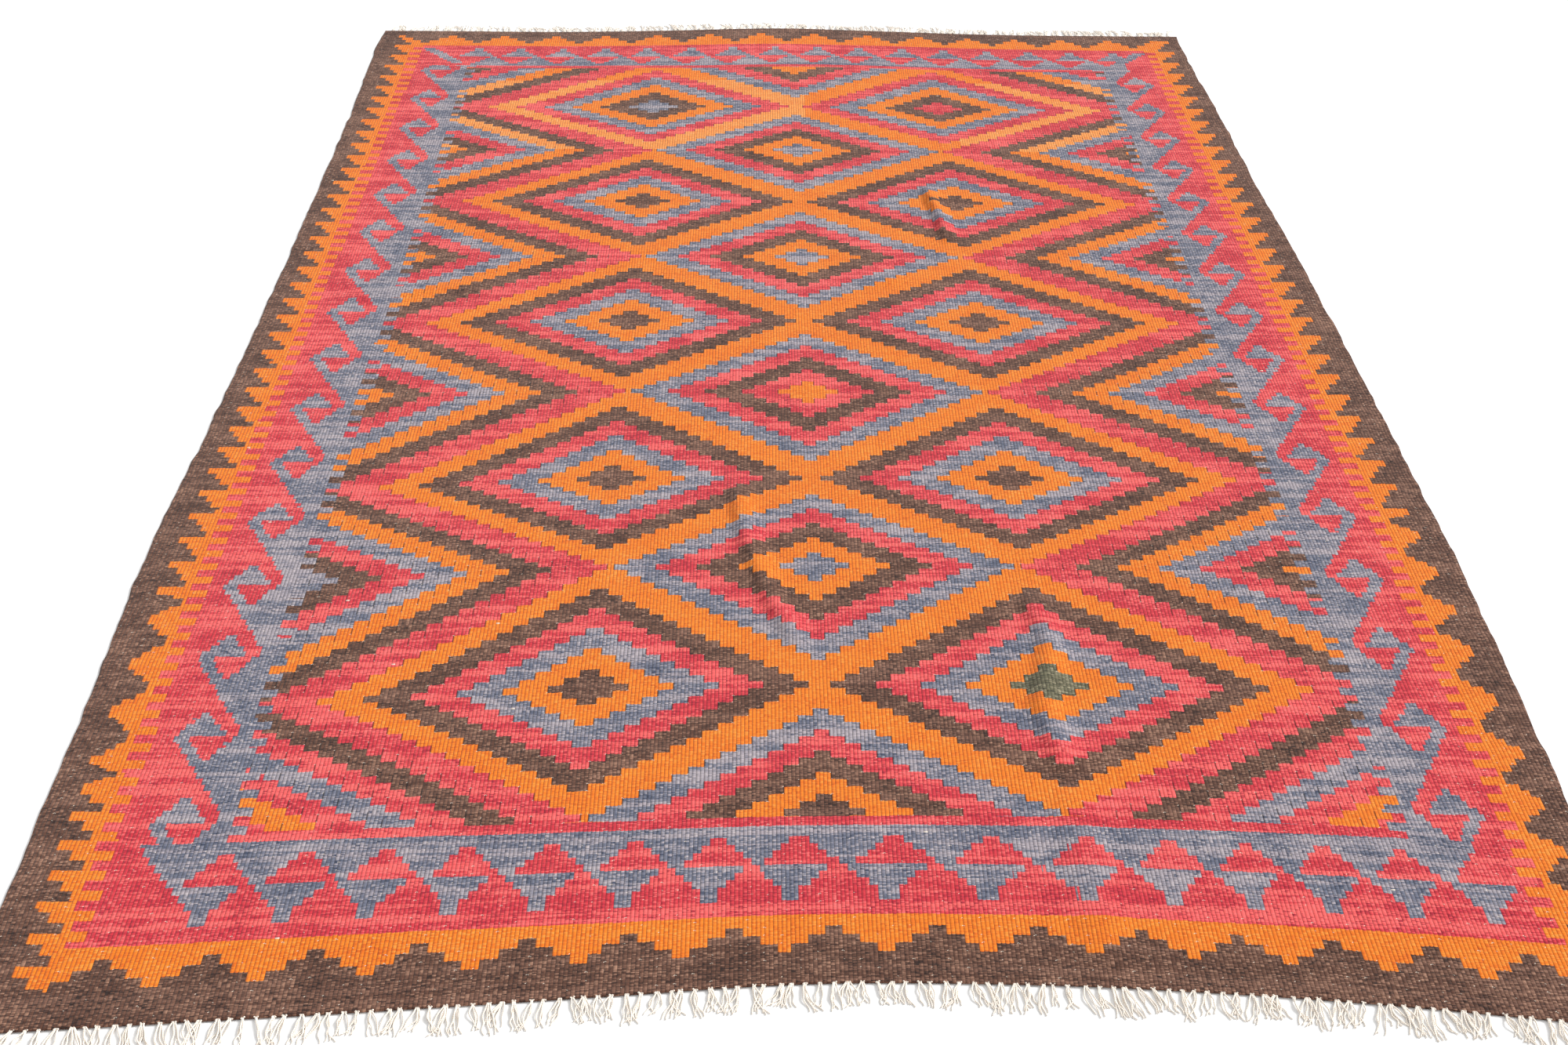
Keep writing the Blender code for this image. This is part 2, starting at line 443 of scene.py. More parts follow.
class Bench:
    """The node tree of one finish, with one way to add any node."""

    def __init__(self, name: str) -> None:
        """Start an empty material of that name."""
        self.material = bpy.data.materials.new(name)
        self.material.use_nodes = True
        self.tree = self.material.node_tree
        self.tree.nodes.clear()

    def node(self, kind: str, settings: dict, values: dict) -> bpy.types.Node:
        """Add a node, set it up and then feed its sockets.

        Args:
            kind: the node's type.
            settings: its properties, and a ramp's stops as pairs of a place and a colour.
            values: what each socket takes, a plain value or a link, by name or by number.

        Returns:
            The node.
        """
        node = self.tree.nodes.new(kind)
        for key, value in settings.items():
            if key == "stops":
                self.set_stops(node.color_ramp, value)
            elif key == "hold":
                node.color_ramp.interpolation = value
            else:
                setattr(node, key, value)
        for key, value in values.items():
            socket = node.inputs[key]
            if isinstance(value, Flow):
                self.tree.links.new(value.socket, socket)
            elif isinstance(value, bpy.types.NodeSocket):
                self.tree.links.new(value, socket)
            else:
                socket.default_value = value
        return node

    def set_stops(self, ramp: bpy.types.ColorRamp, stops: list[tuple[float, Colour]]) -> None:
        """Give a ramp its stops.

        Args:
            ramp: the ramp.
            stops: pairs of a place and a colour, in order.
        """
        while len(ramp.elements) > 1:
            ramp.elements.remove(ramp.elements[-1])
        ramp.elements[0].position = stops[0][0]
        ramp.elements[0].color = (*stops[0][1], 1.0)
        for place, colour in stops[1:]:
            ramp.elements.new(place).color = (*colour, 1.0)

    def number(self, kind: str, settings: dict, values: dict) -> Flow:
        """Add a node and take its first output as a number."""
        return Flow(self, self.node(kind, settings, values).outputs[0])

    def map(self, name: str) -> tuple[Flow, Flow]:
        """Read one of the mesh's maps.

        Args:
            name: the map's name.

        Returns:
            Its two coordinates.
        """
        uv = self.node("ShaderNodeUVMap", {"uv_map": name}, {}).outputs[0]
        split = self.node("ShaderNodeSeparateXYZ", {}, {0: uv})
        return Flow(self, split.outputs[0]), Flow(self, split.outputs[1])

    def point(
        self, x: Flow | Number, y: Flow | Number, z: Flow | Number = 0.0
    ) -> bpy.types.NodeSocket:
        """Join three numbers into a place for a texture to read."""
        return self.node("ShaderNodeCombineXYZ", {}, {0: x, 1: y, 2: z}).outputs[0]

    def fuzz(self, place: bpy.types.NodeSocket, scale: float, detail: float = 0.0) -> Flow:
        """Read a soft random texture.

        Args:
            place: where to read it.
            scale: waves for each unit of the place.
            detail: how many finer layers it has.

        Returns:
            A number round 0.5.
        """
        values = {"Vector": place, "Scale": scale, "Detail": detail}
        return self.number("ShaderNodeTexNoise", {"noise_dimensions": "3D"}, values)

    def toss(self, x: Flow, y: Flow) -> Flow:
        """Draw one even random number from 0 to 1 for each pair of whole numbers."""
        place = self.point(x, y)
        return self.number("ShaderNodeTexWhiteNoise", {"noise_dimensions": "2D"}, {"Vector": place})

    def shades(self, mark: Flow, colours: list[Colour]) -> bpy.types.NodeSocket:
        """Look up a colour by its mark, in eight even marks.

        Args:
            mark: the middle of the mark's share.
            colours: the colours in the marks' order.

        Returns:
            The colour socket.
        """
        stops = [(index / MARKS, colour) for index, colour in enumerate(colours)]
        return self.node(
            "ShaderNodeValToRGB", {"hold": "CONSTANT", "stops": stops}, {0: mark}
        ).outputs[0]

    def chart(self, count: Flow, yarns: list[Yarn]) -> Flow:
        """Look up a yarn by its place in a list.

        Args:
            count: the place in the list, as a whole number.
            yarns: the yarns in order.

        Returns:
            The yarn's mark.
        """
        total = len(yarns)
        stops = [(index / total, (yarn.mark,) * 3) for index, yarn in enumerate(yarns)]
        return self.number(
            "ShaderNodeValToRGB",
            {"hold": "CONSTANT", "stops": stops},
            {0: (count + 0.5) * (1.0 / total)},
        )

    def blend(
        self, share: Flow | Number, low: bpy.types.NodeSocket | Colour,
        high: bpy.types.NodeSocket | Colour, way: str = "MIX",
    ) -> bpy.types.NodeSocket:
        """Blend two colours.

        Args:
            share: how much of the second.
            low: the first colour.
            high: the second colour.
            way: the blend type.

        Returns:
            The blended colour.
        """
        first, second = (
            side if isinstance(side, bpy.types.NodeSocket) else (*side, 1.0) for side in (low, high)
        )
        settings = {"data_type": "RGBA", "blend_type": way}
        return self.node("ShaderNodeMix", settings, {0: share, 6: first, 7: second}).outputs[2]

    def finish(self, values: dict) -> bpy.types.Material:
        """Close the finish with its surface shader.

        Args:
            values: what the Principled sockets take.

        Returns:
            The material.
        """
        surface = self.node("ShaderNodeBsdfPrincipled", {}, values)
        self.node("ShaderNodeOutputMaterial", {}, {0: surface.outputs[0]})
        return self.material


# ---------------------------------------------------------------- the chart


@dataclass(frozen=True)
class FieldChart:
    """The rows and columns of the stepped lozenges that fill the field."""

    centre: float = 1.0205
    step: float = 0.0215
    ribs: int = 4
    repeat: int = 36
    rows: Table = (
        (0.310, -18.0), (0.571, 0.0), (0.852, 18.0), (1.086, 36.0), (1.350, 54.0), (1.590, 72.0),
        (1.838, 90.0), (2.073, 108.0), (2.317, 126.0), (2.542, 144.0), (2.765, 159.5),
    )
    big_column: float = 15.375
    big_core: float = 0.375
    side_column: float = 36.5
    other_core: float = 0.5
    band: int = 3
    last_ring: float = 4.0
    sag: Table = (
        (0.00, 0.000), (0.34, 0.002), (0.56, 0.024), (0.84, 0.034), (1.08, 0.028), (1.34, 0.015),
        (1.60, 0.014), (1.85, 0.005), (2.20, 0.000), (3.00, 0.000),
    )
    sag_from: float = 0.69
    sag_width: float = 0.40
    sag_most: float = 1.15
    pale_rows: Point = (126.0, 155.0)
    unpaled_steps: Point = (1.0, 17.0)
    join_edge: Point = (0.075, 0.030)
    join_reach: float = 0.09
    row_end: Point = (0.42, 0.47)
    big_rings: tuple[tuple[Yarn, ...], ...] = rings(
        "brown orange blue red brown",
        "moss orange blue red brown",
        "blue brown orange blue red",
        "red brown orange blue red",
    )
    middle_rings: tuple[tuple[Yarn, ...], ...] = rings(
        "brown orange brown red blue",
        "blue orange brown red blue",
        "orange red brown red blue",
        *["blue orange brown red blue"] * 3,
    )
    side_rings: tuple[tuple[Yarn, ...], ...] = rings(
        "orange brown red blue orange brown red",
        "red orange red blue red brown red",
        "blue brown red blue orange brown red",
    )

    def steps(self, across: float) -> float:
        """Count the steps from the centre line."""
        return (across - self.centre) / self.step

    def count_rows(self, across: float, along: float, level: float) -> float:
        """Count the rows, which sag towards the left selvedge.

        Args:
            across: place across the plan.
            along: B in metres.
            level: place along the plan.

        Returns:
            Rows from the middle of the nearest big lozenge.
        """
        share = min(max((self.sag_from - across) / self.sag_width, 0.0), self.sag_most)
        return paced(self.rows, along + share * paced(self.sag, level))


RIGHT_EDGE: Table = (
    (0.0, 0.010), (0.3, 0.019), (0.9, 0.030), (1.9, 0.020), (2.5, 0.008), (3.0, 0.0),
)


@dataclass(frozen=True)
class SideChart:
    """The hooks and teeth along both selvedges."""

    hooks: dict[Side, Table] = field(default_factory=lambda: {
        Side.LEFT: ((0.327, 0.0), (2.743, 15.0)),
        Side.RIGHT: ((0.342, 0.0), (0.836, 3.0), (1.939, 10.0), (2.833, 16.0)),
    })
    teeth: dict[Side, Table] = field(default_factory=lambda: {
        Side.LEFT: (
            (0.098, 0.0), (0.347, 5.0), (0.437, 7.0), (0.732, 10.0), (0.806, 11.0), (2.955, 46.0),
        ),
        Side.RIGHT: (
            (0.277, 0.0), (0.362, 1.0), (0.457, 2.0), (0.562, 3.0), (0.667, 4.0), (0.946, 7.0),
            (1.013, 8.0), (2.953, 37.0),
        ),
    })
    edges: dict[Side, Table] = field(default_factory=lambda: {
        Side.LEFT: (
            (0.0, -0.012), (0.15, -0.006), (0.3, 0.004), (0.55, 0.010), (0.85, 0.014), (1.3, 0.012),
            (1.9, 0.009), (2.5, 0.005), (3.0, 0.0),
        ),
        Side.RIGHT: RIGHT_EDGE,
    })
    hook_edges: dict[Side, Table] = field(default_factory=lambda: {
        Side.LEFT: (
            (0.0, -0.0135), (0.35, -0.0135), (0.55, 0.002), (0.85, 0.009), (1.3, 0.006),
            (1.9, 0.004), (3.0, 0.0),
        ),
        Side.RIGHT: RIGHT_EDGE,
    })
    rows: int = 14
    prongs_below: float = 0.388
    left_arrows_below: float = 0.785
    right_arrows_below: float = 0.990
    comb_pitch: float = 0.033
    comb_share: float = 0.48
    comb_root: float = 0.233
    comb_length: float = 0.022
    finger_pitch: float = 0.0325
    finger_root: float = 0.084
    finger_length: float = 0.024
    brown_edge: float = 0.036
    stair: float = 0.0128
    stair_steps: float = 4.0
    prong_steps: float = 3.0
    prong_rise: float = 1.5
    hook_ground: Point = (0.125, 0.0073)
    hook_root: float = 0.2125
    head_place: float = 0.162
    head_width: Point = (-0.0782, 0.0085)
    eye_place: float = 0.175
    eye_width: Point = (0.0288, 0.0072)


@dataclass(frozen=True)
class EndChart:
    """The hooks, teeth and bands of both ends, as depths from the edge at the near end."""

    hooks: dict[End, Table] = field(default_factory=lambda: {
        End.NEAR: (
            (0.250, 0.0), (0.560, 30.0), (0.985, 70.0),
            (1.360, 100.0), (1.467, 110.0), (1.765, 140.0),
        ),
        End.FAR: ((0.2345, 150.0), (1.799, 0.0)),
    })
    teeth: dict[End, Table] = field(default_factory=lambda: {
        End.NEAR: ((0.145, 0.0), (1.405, 10.0), (1.875, 14.0)),
        End.FAR: ((0.170, 0.5), (0.555, 3.5), (0.940, 6.5), (1.340, 9.5), (1.930, 14.5)),
    })
    depths: dict[End, Table] = field(default_factory=lambda: {
        End.NEAR: (
            (0.0, 0.0), (0.055, 0.064), (0.100, 0.114), (0.120, 0.134), (0.146, 0.156),
            (0.263, 0.277), (0.285, 0.295), (0.302, 0.312), (0.500, 0.510),
        ),
        End.FAR: (
            (0.0, 0.0), (0.031, 0.064), (0.080, 0.114), (0.098, 0.134), (0.112, 0.156),
            (0.208, 0.277), (0.219, 0.295), (0.235, 0.312), (0.500, 0.577),
        ),
    })
    step: float = 0.0106
    tooth: float = 0.125
    last_tooth: float = 14.5
    tooth_rises: float = 3.0
    repeat: float = 10.0
    hooks_wide: float = 150.0
    hook_rows: float = 8.0
    near_start: float = 9.0
    far_start: Point = (-3.4, -1.6)
    bar_place: float = 0.203
    bar_slant: float = 0.0095
    bar_width: float = 0.0155
    apex: float = 0.277
    row: float = 0.0134
    band: float = 0.295
    strip: float = 0.312
    orange: float = 0.134
    peak: float = 0.114
    valley: float = 0.064


@dataclass(frozen=True)
class Wool:
    """One dyed wool: its body colour, its dark and light hairs, and its other dye lot."""

    body: Colour
    dark: Colour
    light: Colour
    streak: Colour


@dataclass(frozen=True)
class KilimWeave:
    """The weft-faced tapestry weave, charted yarn by yarn over the squared cloth."""

    lay: Lay = field(default_factory=Lay)
    lozenges: FieldChart = field(default_factory=FieldChart)
    sides: SideChart = field(default_factory=SideChart)
    ends: EndChart = field(default_factory=EndChart)
    pick: float = 0.0017
    scallop: float = 0.0009
    rib_slip: float = 0.0014
    rows_per_metre: float = 72.0
    hooks_per_metre: float = 6.2
    teeth_per_metre: float = 16.0
    wools: dict[Yarn, Wool] = field(default_factory=lambda: {
        Yarn.ORANGE: Wool(
            (0.860, 0.205, 0.012), (0.640, 0.115, 0.008),
            (0.900, 0.300, 0.045), (0.830, 0.180, 0.010),
        ),
        Yarn.RED: Wool(
            (0.600, 0.034, 0.050), (0.350, 0.014, 0.034),
            (0.890, 0.155, 0.150), (0.910, 0.125, 0.118),
        ),
        Yarn.BLUE: Wool(
            (0.150, 0.160, 0.214), (0.045, 0.058, 0.100),
            (0.480, 0.420, 0.440), (0.360, 0.316, 0.348),
        ),
        Yarn.BROWN: Wool(
            (0.113, 0.049, 0.031), (0.028, 0.013, 0.010),
            (0.360, 0.195, 0.130), (0.178, 0.086, 0.058),
        ),
        Yarn.APRICOT: Wool(
            (0.880, 0.300, 0.062), (0.700, 0.200, 0.040),
            (0.920, 0.400, 0.140), (0.860, 0.250, 0.045),
        ),
        Yarn.MOSS: Wool(
            (0.120, 0.112, 0.066), (0.030, 0.030, 0.018),
            (0.330, 0.290, 0.190), (0.160, 0.150, 0.090),
        ),
    })
    cream: Colour = (0.80, 0.70, 0.58)
    cream_share: float = 0.85
    yarn_layer: float = 40.0
    hair_waves: float = 210.0
    cloud_waves: float = 16.0
    course_waves: Point = (1.6, 62.0)
    fine_course_waves: Point = (9.0, 260.0)
    # painted shade: how far the colour is darkened in the grooves between ribs, in the dips between
    # picks and in the slits along upright joins
    groove_shade: float = 0.42
    pick_shade: float = 0.22
    join_shade: float = 0.6
    knots_per_metre: float = 120.0
    knot_above: float = 0.55
    lint_per_metre: float = 420.0
    lint_above: float = 0.99996

    def weave(self) -> bpy.types.Material:
        """Chart the pattern and dress it as wool.

        Returns:
            The material of the cloth.
        """
        bench = Bench("kilim_weave")
        across, along = bench.map("cloth")
        steps, rows = bench.map("field")
        hook, tooth = bench.map("sides")
        end_step, end_tooth = bench.map("ends")
        edge, depth = bench.map("depth")
        reach = bench.map("reach")[0]

        sides = self.sides
        ends = self.ends
        rib_count = (steps * self.lozenges.ribs).whole()
        snap = ((rib_count + 0.5) * (1.0 / self.lozenges.ribs) - steps) * self.lozenges.step
        right = steps > 0.0
        far = along > self.lay.length / 2.0
        swell = abs((steps * (self.lozenges.ribs / 2.0)).wave())
        wobble = bench.toss(rib_count, rib_count * 0.0) - 0.5
        nudge = swell * self.scallop + wobble * self.rib_slip

        edge = edge + snap * (1.0 - right * 2.0)
        reach = reach + snap * (1.0 - right * 2.0)
        level = along + nudge
        depth = depth + nudge
        code, wall, corner = self.field_code(
            bench, steps, rows + nudge * self.rows_per_metre, right
        )
        side = self.side_code(reach, hook + nudge * self.hooks_per_metre)
        comb = (level * (1.0 / sides.comb_pitch)).over() < sides.comb_share
        inside = reach > sides.comb_root + comb * sides.comb_length
        code = (depth < ends.strip).choose(Yarn.RED.mark, code)
        code = inside.choose(code, side)
        wall = wall * inside
        end_step = end_step + snap * (1.0 / ends.step) * (1.0 - far * 2.0)
        border = self.end_code(edge, end_step, depth, far)
        code = (depth < ends.band).choose(border, code)
        wall = wall * (depth > ends.strip)

        finger = (level * (1.0 / sides.finger_pitch)).over() < 0.5
        line = sides.finger_root + finger * sides.finger_length
        orange = (edge < line).most(depth < ends.orange)
        code = orange.choose(Yarn.ORANGE.mark, code)
        tooth = tooth + nudge * self.teeth_per_metre
        end_tooth = end_tooth + snap * (1.0 / ends.tooth)
        brown = self.brown_mask(edge, depth, level, right, tooth, end_tooth)
        code = brown.choose(Yarn.BROWN.mark, code)
        return self.dress(bench, across, along, steps, rib_count, code, wall, corner)

    def field_code(
        self, bench: Bench, steps: Flow, rows: Flow, right: Flow
    ) -> tuple[Flow, Flow, Flow]:
        """Chart the stepped lozenges of the field.

        Args:
            bench: the bench of this finish.
            steps: steps from the centre line.
            rows: rows from the middle of the nearest big lozenge.
            right: 1 on the right half.

        Returns:
            The yarn's mark, 1 along an upright join between yarns, and 1 at the row ends.
        """
        chart = self.lozenges
        half = chart.repeat // 2
        out = abs(steps)
        row = (rows + 0.5).whole()
        climb = abs((row + half) % chart.repeat - half)
        fall = float(half) - climb
        big = abs(out - chart.big_column) + climb + chart.big_core
        middle = out + fall + chart.other_core
        side = abs(out - chart.side_column) + fall + chart.other_core
        band = float(chart.band)
        big_reach = band * len(chart.big_rings[0])
        side_reach = band * (len(chart.side_rings[0]) - 1) + chart.last_ring

        big_place = ((row + half) * (1.0 / chart.repeat)).whole()
        other_place = (row * (1.0 / chart.repeat)).whole() + 1.0
        kind = (big_place < 0.5) * right + (big_place > 3.5) * (right + 2.0)
        big_code = self.look_up(bench, chart.big_rings, kind, (big * (1.0 / band)).whole())
        middle_code = self.look_up(
            bench, chart.middle_rings, other_place, (middle * (1.0 / band)).whole()
        )
        first = other_place < 0.5
        second = (other_place > 0.5) * (other_place < 1.5) * (1.0 - right)
        side_code = self.look_up(
            bench, chart.side_rings, first + second * 2.0, (side * (1.0 / band)).whole()
        )
        first_pale, last_pale = chart.pale_rows
        first_step, last_step = chart.unpaled_steps
        pale = (row > first_pale) * (row < last_pale)
        pale = pale * (1.0 - (steps > first_step) * (steps < last_step))
        code = (side < side_reach).choose(side_code, Yarn.ORANGE.mark)
        code = code + (code < Yarn.RED.mark / 2.0) * pale * Yarn.APRICOT.mark
        code = (middle < big_reach).choose(middle_code, code)
        code = (big < big_reach).choose(big_code, code)

        nearest = big.least(middle).least(side - (side_reach - big_reach))
        nearest = nearest.least(big_reach + band / 2.0)
        off = abs((nearest * (1.0 / band) + 0.5).over() - 0.5) * band
        wall = off.ease(*chart.join_edge)
        corner = abs((rows + 0.5).over() - 0.5).ease(*chart.row_end)
        return code, wall, corner * (off < chart.join_reach)

    def look_up(
        self, bench: Bench, lists: tuple[tuple[Yarn, ...], ...], kind: Flow, ring: Flow
    ) -> Flow:
        """Find the yarn of a ring in one of several lists of the same length.

        Args:
            bench: the bench of this finish.
            lists: the yarns of each kind, from the core outwards.
            kind: which list.
            ring: which ring.

        Returns:
            The yarn's mark.
        """
        count = len(lists[0])
        yarns = [yarn for rings in lists for yarn in rings]
        return bench.chart(kind * float(count) + ring.most(0.0).least(count - 1.0), yarns)

    def side_code(self, edge: Flow, hook: Flow) -> Flow:
        """Chart the hooks along a selvedge.

        Args:
            edge: distance in from the selvedge.
            hook: the count of hooks.

        Returns:
            The yarn's mark, red or blue.
        """
        chart = self.sides
        row = ((hook * -1.0) % 1.0 * float(chart.rows)).whole()
        start, slant = chart.hook_ground
        ground = edge < (row * slant + start).least(chart.hook_root)
        start, slant = chart.head_width
        head = abs(edge - chart.head_place) < row * slant + start
        start, slant = chart.eye_width
        eye = abs(edge - chart.eye_place) < start - row * slant
        blue = (1.0 - ground).most(head) * (1.0 - eye)
        return blue.choose(Yarn.BLUE.mark, Yarn.RED.mark)

    def end_code(self, edge: Flow, step: Flow, depth: Flow, far: Flow) -> Flow:
        """Chart the hooks and the blue band of an end.

        Args:
            edge: distance in from the selvedge.
            step: steps along the row of hooks from the first one's tip.
            depth: depth in from the end.
            far: 1 at the far end.

        Returns:
            The yarn's mark, red or blue.
        """
        chart = self.ends
        row = ((chart.apex - depth) * (1.0 / chart.row)).whole()
        held = row.least(chart.hook_rows - 1.0)
        wide = held % 4.0
        low = held > 3.5
        rows = row > -0.5
        left = low * 4.0 - 1.0 - wide
        ground = ((step - left) % chart.repeat < (wide + 1.0) * 2.0) * rows
        far_start, far_slant = chart.far_start
        start = far.choose(low * far_slant + far_start, held - chart.near_start)
        blue = (1.0 - ground) * (step > start) * (step < left * rows + chart.hooks_wide)
        above = row < chart.hook_rows + 0.5
        blue = blue * above
        bar = abs(edge - chart.bar_place + row * chart.bar_slant) < chart.bar_width
        bar = bar * far * rows * above
        return blue.most(bar).choose(Yarn.BLUE.mark, Yarn.RED.mark)

    def brown_mask(
        self, edge: Flow, depth: Flow, level: Flow, right: Flow, tooth: Flow, end_tooth: Flow
    ) -> Flow:
        """Chart the stepped brown border against the orange one.

        Args:
            edge: distance in from the selvedge.
            depth: depth in from the end.
            level: distance along the cloth.
            right: 1 on the right half.
            tooth: the count of teeth along the selvedge.
            end_tooth: the count of teeth along the end.

        Returns:
            1 where the border is brown.
        """
        ends = self.ends
        sides = self.sides
        saw = (tooth * -1.0) % 1.0
        arrow = abs((tooth + 0.5).over() - 0.5) * 2.0
        prongs = (level < sides.prongs_below) * (1.0 - right)
        limit = right.choose(sides.right_arrows_below, sides.left_arrows_below)
        arrows = (level < limit) * (1.0 - prongs)
        way = arrows.choose(arrow, saw)
        prong_stair = (way * sides.prong_steps).whole() * sides.prong_rise
        stair = prongs.choose(prong_stair, (way * sides.stair_steps).whole())
        side_reach = sides.brown_edge + stair * sides.stair
        held = end_tooth.most(-0.5).least(ends.last_tooth)
        ramp = abs((held + 0.5).over() - 0.5) * 2.0
        fall = (ramp * ends.tooth_rises + 0.5).whole().least(ends.tooth_rises)
        height = ends.peak - fall * ((ends.peak - ends.valley) / ends.tooth_rises)
        return (edge < side_reach).most(depth < height)

    def dress(
        self, bench: Bench, across: Flow, along: Flow, steps: Flow, rib_count: Flow,
        code: Flow, wall: Flow, corner: Flow,
    ) -> bpy.types.Material:
        """Dress the charted yarns as spun wool over cotton warps, with painted shade in the grooves,
        dips and slits of the weave.

        Args:
            bench: the bench of this finish.
            across: distance across the cloth.
            along: distance along the cloth.
            steps: steps from the centre line.
            rib_count: the number of the rib.
            code: the yarn's mark.
            wall: 1 along an upright join, where the painted shadow of the slit goes.
            corner: 1 at the ends of a join's rows.

        Returns:
            The material.
        """
        mark = code + 0.5 / MARKS
        wools = [self.wools[yarn] for yarn in Yarn]
        body = bench.shades(mark, [wool.body for wool in wools])
        dark = bench.shades(mark, [wool.dark for wool in wools])
        light = bench.shades(mark, [wool.light for wool in wools])
        streak = bench.shades(mark, [wool.streak for wool in wools])

        bond = (rib_count * 0.5).over()
        pick_count = (along * (1.0 / self.pick) + bond).whole()
        grain = bench.toss(rib_count, pick_count)
        layer = code * self.yarn_layer
        flat = bench.point(across, along, layer)
        mottle = bench.fuzz(flat, self.hair_waves, 2.0)
        cloud = bench.fuzz(flat, self.cloud_waves, 2.0)
        wide, close = self.course_waves
        courses = bench.fuzz(bench.point(across * wide, along * close, layer), 1.0, 2.0)
        wide, close = self.fine_course_waves
        fine = bench.fuzz(bench.point(across * wide, along * close, layer), 1.0, 1.0)

        lot = (courses + (fine - 0.5) * 0.35 + (cloud - 0.5) * 0.25).ease(0.45, 0.62)
        tone = bench.blend(lot, body, streak)
        hairs = grain * 0.60 + mottle * 0.8 + (cloud - 0.5) * 0.5
        tone = bench.blend(hairs.ease(0.66, 0.25), tone, dark)
        tone = bench.blend(hairs.ease(0.72, 1.15), tone, light)

        rib = abs((steps * (self.lozenges.ribs / 2.0)).wave())
        pick_wave = (along * (1.0 / self.pick) + bond).wave()
        # painted shade: the colour is darkened in the grooves between ribs and in the dips between
        # picks, and lifted a little on their crests
        groove = rib.ease(0.55, 0.0)
        shade = 1.06 - groove * self.groove_shade - pick_wave.ease(0.2, -1.0) * self.pick_shade
        # painted shadow in the slits along upright joins between yarns
        shade = shade * (1.0 - wall * self.join_shade)
        tone = bench.blend(1.0, tone, bench.point(shade, shade, shade), "MULTIPLY")
        knot = bench.toss(rib_count, (along * self.knots_per_metre).whole())
        dots = corner * (knot > self.knot_above)
        speck = bench.toss(rib_count, (along * self.lint_per_metre).whole())
        lint = speck > self.lint_above
        tone = bench.blend(dots.most(lint) * self.cream_share, tone, self.cream)

        height = rib * 0.75 + pick_wave * 0.16 + grain * 0.20
        relief = {"Strength": 0.9, "Distance": 0.0013, "Height": height}
        bump = bench.node("ShaderNodeBump", {}, relief)
        return bench.finish({
            "Base Color": tone,
            "Roughness": 0.92,
            "Specular IOR Level": 0.15,
            "Sheen Weight": 0.10,
            "Sheen Roughness": 0.50,
            "Normal": bump.outputs[0],
        })


# ---------------------------------------------------------------- cloth


def enter(
    mesh: bpy.types.Mesh, finish: bpy.types.Material, node: str
) -> bpy.types.Object:
    """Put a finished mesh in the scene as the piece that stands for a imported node.

    Args:
        mesh: the mesh, whose name the piece takes.
        finish: its material.
        node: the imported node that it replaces.

    Returns:
        The piece.
    """
    mesh.shade_smooth()
    mesh.materials.append(finish)
    piece = bpy.data.objects.new(mesh.name, mesh)
    bpy.context.scene.collection.objects.link(piece)
    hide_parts(node)
    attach(piece, "root")
    log.info("%s: %d faces", piece.name, len(mesh.polygons))
    return piece


